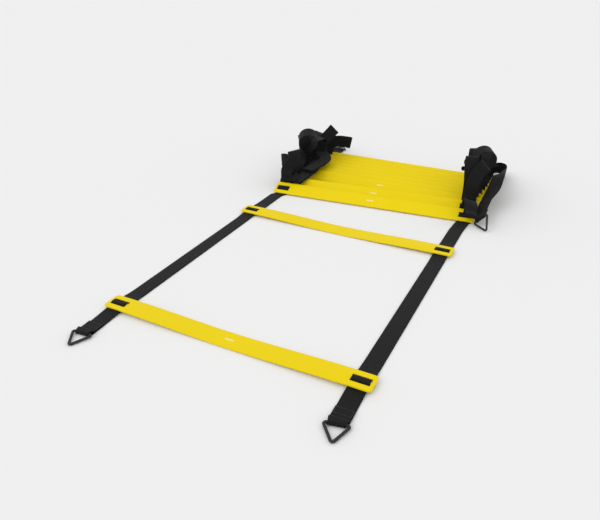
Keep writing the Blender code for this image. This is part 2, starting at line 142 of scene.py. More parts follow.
def dressBend(thing, finish, bodyA, bodyB, start, end, slot, *nodes):
    thing.data.materials.clear()
    thing.data.materials.append(finish)
    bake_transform(thing)
    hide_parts(*nodes)


# Shader sums: a socket that adds its Math nodes as it is used in an expression

class Sock:
    def __init__(self, finish, output):
        self.finish = finish
        self.output = output

    def sum(self, operation, first, second=None):
        values = {0: first} if second is None else {0: first, 1: second}
        return self.finish.node("ShaderNodeMath", {"operation": operation}, values)

    def __add__(self, other):
        return self.sum("ADD", self, other)

    def __radd__(self, other):
        return self.sum("ADD", other, self)

    def __sub__(self, other):
        return self.sum("SUBTRACT", self, other)

    def __rsub__(self, other):
        return self.sum("SUBTRACT", other, self)

    def __mul__(self, other):
        return self.sum("MULTIPLY", self, other)

    def __truediv__(self, other):
        return self.sum("DIVIDE", self, other)

    def __mod__(self, other):
        return self.sum("MODULO", self, other)

    def floor(self):
        return self.sum("FLOOR", self)

    def fraction(self):
        return self.sum("FRACT", self)


class Finish:
    def __init__(self, name, **constants):
        self.material = bpy.data.materials.new(name)
        self.material.use_nodes = True
        self.tree = self.material.node_tree
        self.shader = self.tree.nodes["Principled BSDF"]
        for key, value in constants.items():
            self.shader.inputs[key.replace("_", " ")].default_value = value

    def node(self, kind, settings=None, values=None, output=0):
        made = self.tree.nodes.new(kind)
        for key, value in (settings or {}).items():
            setattr(made, key, value)
        for key, value in (values or {}).items():
            if isinstance(value, Sock):
                self.tree.links.new(value.output, made.inputs[key])
            else:
                made.inputs[key].default_value = value
        return Sock(self, made.outputs[output])

    def feed(self, key, sock):
        self.tree.links.new(sock.output, self.shader.inputs[key])

    def noise(self, place, scale, detail=2.0, roughness=0.5):
        values = {"Vector": place, "Scale": scale, "Detail": detail, "Roughness": roughness}
        return self.node("ShaderNodeTexNoise", {}, values)

    def streaks(self, place, scale, detail=2.0, roughness=0.5):
        stretched = self.node("ShaderNodeVectorMath", {"operation": "MULTIPLY"}, {0: place, 1: scale})
        return self.noise(stretched, 1, detail, roughness)

    def mixed(self, share, first, second):
        values = {"Factor": share, "A": first, "B": second}
        made = self.tree.nodes.new("ShaderNodeMix")
        made.data_type = "RGBA"
        for socket in made.inputs:
            if socket.enabled and socket.name in values:
                value = values[socket.name]
                if isinstance(value, Sock):
                    self.tree.links.new(value.output, socket)
                else:
                    socket.default_value = value
        return Sock(self, [o for o in made.outputs if o.enabled][0])

    def bump(self, height, distance, strength):
        values = {"Height": height, "Distance": distance, "Strength": strength}
        self.feed("Normal", self.node("ShaderNodeBump", {}, values))


# Finishes

plasticLook = {
    "colour": (0.88, 0.68, 0.003, 1),
    "deep": (0.82, 0.62, 0.002, 1),
    "ior": 1.46,
    "specular": 0.1,
    "roughness": 0.4,
    "flowScale": (4.0, 60.0, 60.0),
    "flowDetail": 3.0,
    "flowShare": 0.6,
    "flowMatt": 0.08,
    "cloudScale": 18.0,
    "cloudShare": 0.4,
    "peelScale": 900.0,
    "peelDepth": 0.02 * mm,
    "peelStrength": 0.6,
    "scuffScale": (60.0, 900.0, 900.0),
    "scuffDetail": 4.0,
    "scuffRoughness": 0.7,
    "scuffFrom": 0.56,
    "scuffGain": 9.0,
    "scuffMatt": 0.12,
    "scuffShare": 0.3,
}


def yellowPlastic():
    look = plasticLook
    finish = Finish("moulded yellow plastic", IOR=look["ior"], Specular_IOR_Level=look["specular"])
    place = finish.node("ShaderNodeTexCoord", output=3)
    flow = finish.streaks(place, look["flowScale"], look["flowDetail"])
    cloud = finish.noise(place, look["cloudScale"])
    peel = finish.noise(place, look["peelScale"])
    scuff = finish.streaks(place, look["scuffScale"], look["scuffDetail"], look["scuffRoughness"])
    scuffed = finish.node("ShaderNodeClamp", {}, {"Value": (scuff - look["scuffFrom"]) * look["scuffGain"]})
    share = flow * look["flowShare"] + cloud * look["cloudShare"]
    relief = peel + flow * look["flowShare"] - scuffed * look["scuffShare"]
    finish.feed("Base Color", finish.mixed(share, look["deep"], look["colour"]))
    finish.feed("Roughness", scuffed * look["scuffMatt"] + flow * look["flowMatt"] + look["roughness"])
    finish.bump(relief, look["peelDepth"], look["peelStrength"])
    return finish.material


markLook = {
    # pale is the printed dash lightened by a painted highlight, standing in for raised lettering that catches
    # the light
    "pale": (0.90, 0.78, 0.30, 1),
    # worn is the same mark drawn darker, without the painted highlight
    "worn": (0.84, 0.60, 0.012, 1),
    "specular": 0.15,
    "deepShare": 0.94,
    "roughness": 0.5,
    "grainScale": 700.0,
    "grainDetail": 3.0,
    "grainMatt": 0.15,
}


def printedMark(name, colour):
    finish = Finish(name, Specular_IOR_Level=markLook["specular"])
    place = finish.node("ShaderNodeTexCoord", output=3)
    grain = finish.noise(place, markLook["grainScale"], markLook["grainDetail"])
    deep = tuple(c * markLook["deepShare"] for c in colour[:3]) + (1,)
    finish.feed("Base Color", finish.mixed(grain, deep, colour))
    finish.feed("Roughness", markLook["roughness"] + grain * markLook["grainMatt"])
    return finish.material


weaveLook = {
    "width": 25.4 * mm,
    "yarns": 18,
    "yarnRun": 2.7 * mm,
    # lit is the yarn crowns' colour with a painted highlight, deep the hollows' colour with painted shade
    "lit": (0.0115, 0.0115, 0.0123, 1),
    "deep": (0.0036, 0.0036, 0.0042, 1),
    "sheen": 0.04,
    "sheenRoughness": 0.5,
    "specular": 0.16,
    "roughness": 0.78,
    "depth": 0.35 * mm,
    "strength": 0.8,
    "crownShare": 0.7,
    "crownGloss": 0.22,
    "fibreScale": (9000.0, 900.0, 1.0),
    "fibreShare": 0.3,
    "fibreMatt": 0.1,
    "fibreRelief": 0.15,
    "wearScale": (60.0, 14.0, 1.0),
    "wearDetail": 3.0,
    "wearShare": 0.25,
}


# The weave follows the strap's own UV map, in metres across and along
def wovenWebbing():
    look = weaveLook
    finish = Finish("dark woven webbing", Sheen_Weight=look["sheen"], Sheen_Roughness=look["sheenRoughness"],
                    Specular_IOR_Level=look["specular"])
    place = finish.node("ShaderNodeUVMap", {"uv_map": "UVMap"})
    across = finish.node("ShaderNodeSeparateXYZ", {}, {0: place}, 0)
    along = finish.node("ShaderNodeSeparateXYZ", {}, {0: place}, 1)
    yarn = across / (look["width"] / look["yarns"])
    column = yarn.floor()
    run = along / look["yarnRun"] + column % 2.0 * 0.5
    overYarn = yarn.fraction() * 2.0 - 1.0
    overRun = run.fraction() * 2.0 - 1.0
    crown = (1.0 - overYarn * overYarn) * (1.0 - overRun * overRun * overRun * overRun)
    fibres = finish.streaks(place, look["fibreScale"])
    worn = finish.streaks(place, look["wearScale"], look["wearDetail"])
    # Crowns are painted lighter and the hollows between yarns darker: painted highlight and painted shade on
    # the weave's relief. The fibre and wear streaks are the webbing's own tone
    share = crown * look["crownShare"] + fibres * look["fibreShare"] * crown
    share += (worn - 0.5) * look["wearShare"]
    finish.feed("Base Color", finish.mixed(share, look["deep"], look["lit"]))
    finish.feed("Roughness", look["roughness"] - crown * look["crownGloss"] + fibres * look["fibreMatt"])
    finish.bump(crown + fibres * look["fibreRelief"], look["depth"], look["strength"])
    return finish.material


threadLook = {
    # lit is the twist ridges' colour with a painted highlight, deep the grooves' colour with painted shade
    "lit": (0.022, 0.022, 0.024, 1),
    "deep": (0.008, 0.008, 0.009, 1),
    "sheen": 0.2,
    "roughness": 0.45,
    "twistScale": 1500.0,
    "twistWander": 1.0,
    "twistMatt": 0.2,
    "depth": 0.06 * mm,
    "strength": 0.6,
}


def sewingThread():
    look = threadLook
    finish = Finish("dark sewing thread", Sheen_Weight=look["sheen"])
    place = finish.node("ShaderNodeTexCoord", output=3)
    twist = finish.node("ShaderNodeTexWave", {"bands_direction": "DIAGONAL"},
                        {"Vector": place, "Scale": look["twistScale"], "Distortion": look["twistWander"]})
    # The twist bands are painted lighter on their ridges and darker in their grooves: painted highlight and
    # painted shade following the bump
    finish.feed("Base Color", finish.mixed(twist, look["deep"], look["lit"]))
    finish.feed("Roughness", look["roughness"] + twist * look["twistMatt"])
    finish.bump(twist, look["depth"], look["strength"])
    return finish.material


steelLook = {
    "colour": (0.010, 0.010, 0.011, 1),
    "worn": (0.036, 0.036, 0.038, 1),
    "metallic": 0.35,
    "coat": 0.25,
    "coatRoughness": 0.25,
    "roughness": 0.42,
    "grainScale": 2200.0,
    "grainMatt": 0.12,
    "wearScale": 260.0,
    "wearDetail": 4.0,
    "wearRoughness": 0.65,
    "wearFrom": 0.6,
    "wearGain": 6.0,
    "wearGloss": 0.1,
    "wearShare": 0.4,
    "depth": 0.03 * mm,
    "strength": 0.5,
}


def paintedSteel():
    look = steelLook
    finish = Finish("dark painted steel", Metallic=look["metallic"], Coat_Weight=look["coat"],
                    Coat_Roughness=look["coatRoughness"])
    place = finish.node("ShaderNodeTexCoord", output=3)
    grain = finish.noise(place, look["grainScale"])
    wear = finish.noise(place, look["wearScale"], look["wearDetail"], look["wearRoughness"])
    worn = finish.node("ShaderNodeClamp", {}, {"Value": (wear - look["wearFrom"]) * look["wearGain"]})
    finish.feed("Base Color", finish.mixed(worn, look["colour"], look["worn"]))
    finish.feed("Roughness", look["roughness"] + grain * look["grainMatt"] - worn * look["wearGloss"])
    finish.bump(grain - worn * look["wearShare"], look["depth"], look["strength"])
    return finish.material


floorLook = {
    "colour": (0.859, 0.859, 0.859, 1),
    "faintShare": 0.995,
    "roughness": 0.9,
    "ior": 1.2,
    "grainScale": 3.0,
    "size": 40,
    "drop": 0.2 * mm,
}


def paleFloor():
    look = floorLook
    finish = Finish("pale studio floor", Roughness=look["roughness"], IOR=look["ior"])
    place = finish.node("ShaderNodeTexCoord", output=3)
    grain = finish.noise(place, look["grainScale"])
    faint = tuple(c * look["faintShare"] for c in look["colour"][:3]) + (1,)
    finish.feed("Base Color", finish.mixed(grain, faint, look["colour"]))
    return finish.material


plasticFinish = yellowPlastic()
# The centre marks' pale colour is partly print and partly a painted highlight
highlightedMarkFinish = printedMark("printed mark with painted highlight", markLook["pale"])
darkerMarkFinish = printedMark("darker printed mark", markLook["worn"])
webbingFinish = wovenWebbing()
threadFinish = sewingThread()
steelFinish = paintedSteel()
floorFinish = paleFloor()
print("finishes made")


# Camera, light and floor

studio = {
    "cameraPlace": (0.36048, -0.89936, 0.481),
    "cameraTurn": (61.1, 0, 26.8),
    "lens": 35.1,
    "sensor": 36.0,
    "farthest": 100,
    "worldLight": 0.92,
    "worldSeen": 0.871,
    "sunTurn": (38, -34, 0),
    "sunLight": 0.45,
    "sunSoftness": 28,
}

cameraData = bpy.data.cameras.new("photo camera")
cameraData.lens = studio["lens"]
cameraData.sensor_width = studio["sensor"]
cameraData.clip_end = studio["farthest"]
camera = bpy.data.objects.new("photo camera", cameraData)
camera.location = studio["cameraPlace"]
camera.rotation_euler = [radians(a) for a in studio["cameraTurn"]]
bpy.context.scene.collection.objects.link(camera)
bpy.context.scene.camera = camera

sunData = bpy.data.lights.new("soft sun", "SUN")
sunData.energy = studio["sunLight"]
sunData.angle = radians(studio["sunSoftness"])
sun = bpy.data.objects.new("soft sun", sunData)
sun.rotation_euler = [radians(a) for a in studio["sunTurn"]]
bpy.context.scene.collection.objects.link(sun)


def lightWorld():
    world = bpy.data.worlds.new("studio")
    bpy.context.scene.world = world
    world.use_nodes = True
    tree = world.node_tree
    background = tree.nodes["Background"]
    background.inputs["Color"].default_value = (1, 1, 1, 1)
    path = tree.nodes.new("ShaderNodeLightPath")
    seen = tree.nodes.new("ShaderNodeMath")
    seen.operation = "MAXIMUM"
    tree.links.new(path.outputs["Is Camera Ray"], seen.inputs[0])
    tree.links.new(path.outputs["Is Glossy Ray"], seen.inputs[1])
    strength = tree.nodes.new("ShaderNodeMix")
    strength.data_type = "FLOAT"
    tree.links.new(seen.outputs[0], strength.inputs["Factor"])
    strength.inputs["A"].default_value = studio["worldLight"]
    strength.inputs["B"].default_value = studio["worldSeen"]
    tree.links.new(strength.outputs[0], background.inputs["Strength"])


lightWorld()
bpy.context.scene.view_settings.view_transform = "Standard"

deselectAll()
bpy.ops.mesh.primitive_plane_add(size=floorLook["size"], location=(0, 0, -floorLook["drop"]))
floor = bpy.context.object
floor.name = "studio_floor"
floor.data.materials.append(floorFinish)
print("camera, light and floor set")


# Rungs: a flat moulding with a double slot near each end and a pale dash at its middle

rungShape = {
    "length": 419 * mm,
    "width": 31.75 * mm,
    "thickness": 2.6 * mm,
    "cornerRadius": 5.0 * mm,
    "cornerSegments": 8,
    "slotLength": 26.4 * mm,
    "slotWidth": 4.0 * mm,
    "slotOffset": 4.75 * mm,
    "slotSpacing": 382.7 * mm,
    "slotCorner": 0.7 * mm,
    "edgeRound": 0.55 * mm,
    "edgeSegments": 3,
    "sharpAngle": 50,
    "smoothAngle": 40,
    "tolerance": 0.01 * mm,
    "stations": 16,
    "laidHeight": 5.6 * mm,
    "sag": 3.9 * mm,
}


def modelRung():
    s = rungShape
    deselectAll()
    bpy.ops.mesh.primitive_plane_add(size=1, location=(0, 0, 0))
    rung = bpy.context.object
    startEditing(rung)
    bpy.ops.transform.resize(value=(s["length"], s["width"], 1))
    bpy.ops.transform.translate(value=(0, 0, -s["thickness"] / 2))
    bpy.ops.mesh.bevel(offset=s["cornerRadius"], segments=s["cornerSegments"], affect="VERTICES")
    corners = [(-1, -1), (-1, 1), (1, -1), (1, 1)]
    slotEnds = [side * s["slotSpacing"] / 2 + end * s["slotLength"] / 2 for side, end in corners]
    slotSides = [slot * s["slotOffset"] + edge * s["slotWidth"] / 2 for slot, edge in corners]
    inner = (s["slotSpacing"] - s["slotLength"]) / 2
    stations = [inner * (2 * i / s["stations"] - 1) for i in range(1, s["stations"])]
    for x in slotEnds + stations:
        bisectAt((x, 0, 0), (1, 0, 0))
    for y in slotSides:
        bisectAt((0, y, 0), (0, 1, 0))

    def inSlot(c):
        beside = abs(abs(c.x) - s["slotSpacing"] / 2) < s["slotLength"] / 2
        within = abs(abs(c.y) - s["slotOffset"]) < s["slotWidth"] / 2
        return beside and within

    pickFaces(rung, inSlot)
    bpy.ops.mesh.delete(type="FACE")
    bpy.ops.mesh.select_all(action="SELECT")
    bpy.ops.mesh.extrude_region_move(TRANSFORM_OT_translate={"value": (0, 0, s["thickness"])})
    bpy.ops.mesh.select_all(action="SELECT")
    bpy.ops.mesh.normals_make_consistent(inside=False)

    def slotCornerEdge(a, b):
        if abs(a.z - b.z) < s["thickness"] / 2:
            return False
        atEnd = min(abs(abs(a.x) - abs(x)) for x in slotEnds) < s["tolerance"]
        atSide = min(abs(abs(a.y) - abs(y)) for y in slotSides) < s["tolerance"]
        return atEnd and atSide

    pickEdges(rung, slotCornerEdge)
    bpy.ops.mesh.bevel(offset=s["slotCorner"], segments=s["edgeSegments"], affect="EDGES")
    bpy.ops.mesh.select_all(action="DESELECT")
    bpy.ops.mesh.edges_select_sharp(sharpness=radians(s["sharpAngle"]))
    bpy.ops.mesh.bevel(offset=s["edgeRound"], segments=s["edgeSegments"], affect="EDGES")
    stopEditing()
    smoothShade(rung, s["smoothAngle"])
    return rung


# The dash is a thin film printed on the rung's upper face. Its pale colour is partly print and partly a
# painted highlight
markShape = {
    "length": 14 * mm,
    "width": 3.4 * mm,
    "corner": 1.0 * mm,
    "cornerSegments": 5,
    "film": 0.06 * mm,
}


def printMark(name, place, finish, body):
    m = markShape
    deselectAll()
    bpy.ops.mesh.primitive_plane_add(size=1, location=(0, 0, 0))
    mark = bpy.context.object
    mark.name = name
    mark.data.name = name
    startEditing(mark)
    bpy.ops.transform.resize(value=(m["length"], m["width"], 1))
    bpy.ops.mesh.bevel(offset=m["corner"], segments=m["cornerSegments"], affect="VERTICES")
    bpy.ops.mesh.extrude_region_move(TRANSFORM_OT_translate={"value": (0, 0, m["film"])})
    bpy.ops.mesh.select_all(action="SELECT")
    bpy.ops.mesh.normals_make_consistent(inside=False)
    stopEditing()
    settle(mark, place @ Matrix.Translation((0, 0, rungShape["thickness"] / 2)))
    mark.data.materials.append(finish)
    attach(mark, body)


# The gathered rungs lean on each other like fallen dominoes
pile = {
    "tilt": radians(22.5),
    "spare": 0.2 * mm,
    "floorGap": 0.16 * mm,
    "front": 519.5 * mm,
    "scatter": 6 * mm,
    "spacingShares": [0, 1.866, 2.235, 1, 1, 1, 1, 1, 1],
    "scatterShares": [0.75, -0.58, -1.0, -0.67, -0.33, 0, 0.17, 0, 0],
    "yaws": [5, 6, 0, 0, 0, 0, 0, 0, 0],
}

webbing = {
    "width": 25.4 * mm,
    "thickness": 1.3 * mm,
    "bay": 381 * mm,
    "seatGap": 0.3 * mm,
    "passGap": 0.5 * mm,
    "bendRadius": 2.0 * mm,
    "foldMargin": 8.0 * mm,
    "lift": 2.7 * mm,
    "liftReach": 45 * mm,
    "eyeWidth": 22 * mm,
    "hem": 22 * mm,
    "tab": 78 * mm,
    "barRadius": 1.6 * mm,
    "columns": 8,
    "station": 3 * mm,
    "bendSteps": 6,
    "edgeSteps": 8,
    "crossingSteps": 10,
    "crossingRatio": 1.5,
    "edgeRound": 0.4 * mm,
    "edgeSegments": 2,
    "edgeAngle": 60,
    "smoothAngle": 45,
}

halfWidth = rungShape["width"] / 2
under = rungShape["thickness"] / 2 + webbing["seatGap"] + webbing["thickness"] / 2
over = under + webbing["thickness"] + webbing["passGap"]
pilePitch = (2 * over + pile["spare"]) / sin(pile["tilt"])
pileHeight = halfWidth * sin(pile["tilt"]) + under + webbing["thickness"] / 2 + pile["floorGap"]
foldOne = -halfWidth - webbing["foldMargin"]
foldTwo = webbing["bay"] - halfWidth - webbing["foldMargin"]
foldThree = 478 * mm
eyeRadius = webbing["barRadius"] + webbing["seatGap"] + webbing["thickness"] / 2


class LaidRung:
    def __init__(self, x, y, z, yaw, tilt):
        self.centre = np.array([x, y, z])
        self.tilt = tilt
        self.along = np.array([cos(yaw), sin(yaw), 0])
        flat = np.array([-sin(yaw), cos(yaw), 0])
        up = np.array([0, 0, 1])
        self.across = flat * cos(tilt) + up * sin(tilt)
        self.face = up * cos(tilt) - flat * sin(tilt)

    def at(self, side, v, h):
        beside = self.along * (side * rungShape["slotSpacing"] / 2)
        return self.centre + beside + self.across * v + self.face * h

    def local(self, side, point):
        reach = point - self.at(side, 0, 0)
        return reach @ self.across, reach @ self.face

    def matrix(self):
        columns = np.column_stack([self.along, self.across, self.face, self.centre + ladderPlace])
        return Matrix([list(row) for row in columns] + [[0, 0, 0, 1]])


def pileRungs():
    y = pile["front"]
    made = []
    for spacing, scatter, yaw in zip(pile["spacingShares"], pile["scatterShares"], pile["yaws"]):
        y += spacing * pilePitch
        made.append(LaidRung(scatter * pile["scatter"], y, pileHeight, radians(yaw), pile["tilt"]))
    return made


gathered = pileRungs()
flatRung = modelRung()
for number, place in enumerate(gathered, start=3):
    node = f"rung_{number:02d}"
    piece = copyOf(flatRung, f"{node}_moulding")
    settle(piece, place.matrix())
    dress(piece, plasticFinish, "pile", "yellow_plastic", node)
    printMark(f"{node}_centre_mark", place.matrix(), highlightedMarkFinish, "pile")
saggingRung = copyOf(flatRung, "sagging_rung")
innerEnd = (rungShape["slotSpacing"] - rungShape["slotLength"]) / 2
for vert in saggingRung.data.vertices:
    if abs(vert.co.x) < innerEnd:
        vert.co.z -= rungShape["sag"] * cos(pi * vert.co.x / (2 * innerEnd)) ** 2
# The second rung's mark is the same mark, darker, without the painted highlight
for number, y, body, finish in ((1, 0, "first_rung", highlightedMarkFinish),
                                (2, webbing["bay"], "second_rung", darkerMarkFinish)):
    node = f"rung_{number:02d}"
    piece = copyOf(saggingRung, f"{node}_moulding")
    settle(piece, LaidRung(0, y, rungShape["laidHeight"], 0, 0).matrix())
    dress(piece, plasticFinish, body, "yellow_plastic", node)
    middle = LaidRung(0, y, rungShape["laidHeight"] - rungShape["sag"], 0, 0)
    printMark(f"{node}_centre_mark", middle.matrix(), finish, body)
for spare in (flatRung, saggingRung):
    bpy.data.objects.remove(spare, do_unlink=True)
print("rungs moulded")


# Webbing: a section is a point on the strap's middle line, its width direction and its width

def between(a, b, steps):
    return [a + (b - a) * i / steps for i in range(steps + 1)]


def arc(centre, radius, start, end, steps=webbing["bendSteps"]):
    turns = between(start, end, steps)
    return [(centre[0] + radius * cos(t), centre[1] + radius * sin(t)) for t in turns]


def bezier(p0, p1, p2, p3, steps):
    points = []
    for i in range(steps + 1):
        u = i / steps
        shares = ((1 - u) ** 3, 3 * (1 - u) ** 2 * u, 3 * (1 - u) * u * u, u ** 3)
        points.append(tuple(sum(s * c for s, c in zip(shares, column)) for column in zip(p0, p1, p2, p3)))
    return points


def eased(u):
    u = min(max(u, 0.0), 1.0)
    return u * u * (3 - 2 * u)


def lengthOf(points):
    return sum(float(np.linalg.norm(np.array(b) - np.array(a))) for a, b in zip(points, points[1:]))


def withoutRepeats(sections):
    kept = sections[:1]
    for section in sections[1:]:
        if np.linalg.norm(section[0] - kept[-1][0]) > webbing["thickness"] / 10:
            kept.append(section)
    return kept


def webbingStrip(name, sections):
    sections = withoutRepeats(sections)
    rows, columns = len(sections) - 1, webbing["columns"]
    points = np.array([s[0] for s in sections])
    sides = np.array([np.array(s[1]) / np.linalg.norm(s[1]) for s in sections])
    sizes = np.array([s[2] for s in sections])
    travelled = np.concatenate([[0], np.cumsum(np.linalg.norm(np.diff(points, axis=0), axis=1))])
    deselectAll()
    bpy.ops.mesh.primitive_grid_add(x_subdivisions=columns, y_subdivisions=rows, size=1, location=(0, 0, 0))
    strip = bpy.context.object
    strip.name = name
    strip.data.name = name
    flat = np.array([v.co for v in strip.data.vertices])
    i = np.rint((flat[:, 0] + 0.5) * columns).astype(int)
    j = np.rint((flat[:, 1] + 0.5) * rows).astype(int)
    share = i / columns
    placed = points[j] + sides[j] * (sizes[j] * (share - 0.5))[:, None] + ladderPlace
    strip.data.vertices.foreach_set("co", placed.ravel())
    layer = strip.data.uv_layers[0]
    layer.name = "UVMap"
    corners = np.array([loop.vertex_index for loop in strip.data.loops])
    uv = np.column_stack([share[corners] * sizes[j[corners]], travelled[j[corners]]])
    layer.data.foreach_set("uv", uv.ravel())
    strip.data.update()
    applyModifier(strip, "SOLIDIFY", thickness=webbing["thickness"], offset=0, use_even_offset=True)
    applyModifier(strip, "BEVEL", width=webbing["edgeRound"], segments=webbing["edgeSegments"],
                  limit_method="ANGLE", angle_limit=radians(webbing["edgeAngle"]))
    smoothShade(strip, webbing["smoothAngle"])
    return strip


def weavePath(steps=4):
    leg, bend = rungShape["slotOffset"], webbing["bendRadius"]
    up = arc((-leg - bend, -under + bend), bend, -pi / 2, 0, steps)
    up += arc((-leg + bend, under - bend), bend, pi, pi / 2, steps)
    return up + [(-v, h) for v, h in reversed(up)]


def shortWeavePath(steps=5):
    leg, bend = rungShape["slotOffset"], webbing["bendRadius"]
    up = [(-leg, -rungShape["thickness"] / 2)]
    up += arc((-leg + bend, under - bend), bend, pi, pi / 2, steps)
    return up + [(-v, h) for v, h in reversed(up)]


def strapHeight(y):
    height = webbing["thickness"] / 2
    for rungY in (0, webbing["bay"]):
        if abs(y - rungY) < webbing["liftReach"]:
            height += webbing["lift"] * cos(pi * (y - rungY) / (2 * webbing["liftReach"])) ** 2
    return height


def flatSections(side, start, end):
    count = max(2, round(abs(end - start) / webbing["station"]))
    x = side * rungShape["slotSpacing"] / 2
    places = [np.array([x, y, strapHeight(y)]) for y in between(start, end, count)]
    return [(place, np.array([1.0, 0, 0]), webbing["width"]) for place in places]


# The sewn eye: the webbing goes round the ring's bar and back along itself. Shares are of the hem
eyeShape = {
    "dropShare": 0.25,
    "joinShare": 0.5,
    "pullShare": 0.125,
    "sewnShare": 0.75,
    "narrowShare": 0.25,
    "turnShare": 0.5,
    "lowerSteps": 8,
    "turnSteps": 12,
    "backSteps": 10,
    "sewnSteps": 6,
}


# The bar is at the origin of (along, up), and the strap comes from behind, below the bar
def eyePath():
    s = eyeShape
    hem = webbing["hem"]
    below = -eyeRadius
    lower = [(along, below) for along in between(-hem, -eyeRadius, s["lowerSteps"])]
    turn = arc((0, 0), eyeRadius, -pi / 2, pi / 2, s["turnSteps"])
    closed = below + webbing["thickness"] + webbing["passGap"]
    drop = (-hem * s["dropShare"], eyeRadius)
    join = (-hem * s["joinShare"], closed)
    pull = hem * s["pullShare"]
    back = bezier(drop, (drop[0] - pull, drop[1]), (join[0] + pull, join[1]), join, s["backSteps"])
    sewn = hem * s["sewnShare"]
    upper = [(join[0] - sewn * i / s["sewnSteps"], closed) for i in range(1, s["sewnSteps"] + 1)]
    return lower + turn + back + upper


# The webbing narrows towards the eye, and its width turns to the ring's bar
def eyeSections(bar, heading, width, axis):
    lift = np.cross(width, heading)
    sections = []
    for along, up in eyePath():
        near = eased(1 + along / (webbing["hem"] * eyeShape["narrowShare"]))
        turned = eased(1 + along / (webbing["hem"] * eyeShape["turnShare"]))
        size = webbing["width"] + (webbing["eyeWidth"] - webbing["width"]) * near
        sections.append((bar + heading * along + lift * up, width * (1 - turned) + axis * turned, size))
    return sections


# How far each front tab leans to the side and how far its ring's bar is turned, in degrees
frontTab = {"steps": 18, "leanRate": 3, "left": (2.7, 4), "right": (2, 12)}


def tabSections(side, lean, turn):
    start = foldOne - webbing["seatGap"] / 2
    reach = webbing["tab"] - halfWidth - webbing["foldMargin"] - webbing["seatGap"] / 2
    steps = frontTab["steps"]
    point = np.array([side * rungShape["slotSpacing"] / 2, start, 0])
    step = (reach - webbing["hem"]) / steps
    sections = [(p, -d, w) for p, d, w in flatSections(side, 0, start)[:-1]]
    for i in range(steps + 1):
        angle = lean * eased(frontTab["leanRate"] * i / steps)
        heading, width = np.array([sin(angle), -cos(angle), 0]), np.array([-cos(angle), -sin(angle), 0])
        point[2] = strapHeight(point[1])
        sections.append((point.copy(), width, webbing["width"]))
        point = point + heading * step
    bar = sections[-1][0] + heading * webbing["hem"]
    bar[2] = webbing["thickness"] / 2 + eyeRadius
    tip, axis = np.array([sin(turn), -cos(turn), 0]), np.array([-cos(turn), -sin(turn), 0])
    return sections[:-1] + eyeSections(bar, heading, width, axis), (bar, heading, width), (bar, tip, axis)


# Heaps of slack webbing between the gathered rungs: each bay's slack stands up in one or two loops
heap = {
    "legShares": (0, 0.25, 0.52, 0.77),
    "strandGap": 1.5 * mm,
    "legRise": 16 * mm,
    "partingRatio": 2.4,
    "legSteps": 6,
    "spineSteps": 12,
    "straightSteps": 24,
    "roundSteps": 12,
    "valleySteps": 8,
    "fallSteps": 8,
    "halvings": 24,
}

# For each bay how high its loops' legs stand, then its loops: the share of the slack, the radius of the
# round end, and how each stretch twists outward, bends over its flat side and leans outward on its edge.
# Heights and radii are in mm, turns in degrees.
leftLoops = [
    (24, (0.42, 3.0, (20, 0, -38), (0, 5, 0), (0, 20, 36), (0, 90, 22)),
     (0.58, 6.0, (0, 10, 40), (0, 20, 60), (0, 80, 16), (0, 90, 0), (0, 20, 0))),
    (6, (0.42, 2.5, (0, -97, 0), (0, 0, -46), (0, 0, 26), (0, 0, 18)),
     (0.58, 5.0, (20, 60, 10), (10, 60, 0), (0, 60, 0))),
    (23, (0.57, 21.0, (-60, 0, -25), (0, 8, 0)),
     (0.43, 4.0, (25, 8, 13), (0, 12, 4), (0, 40, 0))),
    (18, (0.46, 4.0, (-25, 20, -8), (-10, 40, 0), (0, 70, 0)),
     (0.54, 5.0, (30, 26, 4), (20, 44, 4), (0, 60, 0))),
    (2, (1.0, 2.5, (0, -93, 0), (0, 0, -40), (0, 0, 0), (0, 0, 18), (0, 0, 14), (0, 0, 10), (0, 0, 2),
         (0, 0, 0), (0, 0, 0), (0, 0, 0))),
    (14, (0.50, 3.0, (0, 15, -22), (0, 10, -14), (0, 0, 0)),
     (0.50, 6.0, (30, 35, 0), (20, 50, 0), (0, 60, 0))),
    (9, (1.0, 2.5, (0, -92, 0), (0, 0, -42), (0, 0, -8), (0, 0, 18), (0, 0, 22), (0, 0, 14), (0, 0, 3),
         (0, 0, 0), (0, 0, 0), (0, 0, 0))),
    (5, (0.53, 4.0, (0, 0, -50), (0, 10, -38), (0, 0, -12)),
     (0.47, 6.0, (10, 75, 0), (10, 20, 0), (0, 10, 0))),
]
rightLoops = [
    (7, (0.44, 4.0, (0, -80, 26), (0, -45, 0), (0, 20, 0)),
     (0.56, 5.0, (8, 5, 4), (6, 5, 14), (0, 20, 24))),
    (20, (0.54, 5.0, (5, -5, -3), (0, 0, -2), (0, 10, 0), (0, 60, 0)),
     (0.46, 5.0, (-20, 10, 0), (-20, 20, 0), (0, 60, 0))),
    (20, (0.62, 5.0, (0, 5, -6), (0, 5, -3), (0, 30, 0), (0, 60, 0)),
     (0.38, 4.0, (-30, 20, -14), (-20, 50, 0), (0, 60, 0))),
    (20, (0.65, 22.0, (55, 0, 14), (0, 6, 0)),
     (0.35, 4.0, (40, 10, 5), (20, 40, 0), (0, 60, 0))),
    (18, (0.55, 6.0, (-10, 18, 7), (0, 35, 0), (0, 60, 0)),
     (0.45, 4.0, (10, 50, 0), (0, 60, 0), (0, 60, 0))),
    (16, (0.55, 5.0, (-8, 32, -4), (0, 45, 0), (0, 60, 0)),
     (0.45, 5.0, (8, 56, 0), (0, 60, 0), (0, 60, 0))),
    (14, (0.55, 5.0, (-8, 44, -6), (0, 50, 0), (0, 50, 0)),
     (0.45, 4.0, (8, 64, 0), (0, 60, 0), (0, 60, 0))),
    (12, (0.55, 5.0, (-8, 56, -8), (0, 50, 0), (0, 60, 0)),
     (0.45, 6.0, (8, 76, 0), (0, 60, 0), (0, 40, 0))),
]


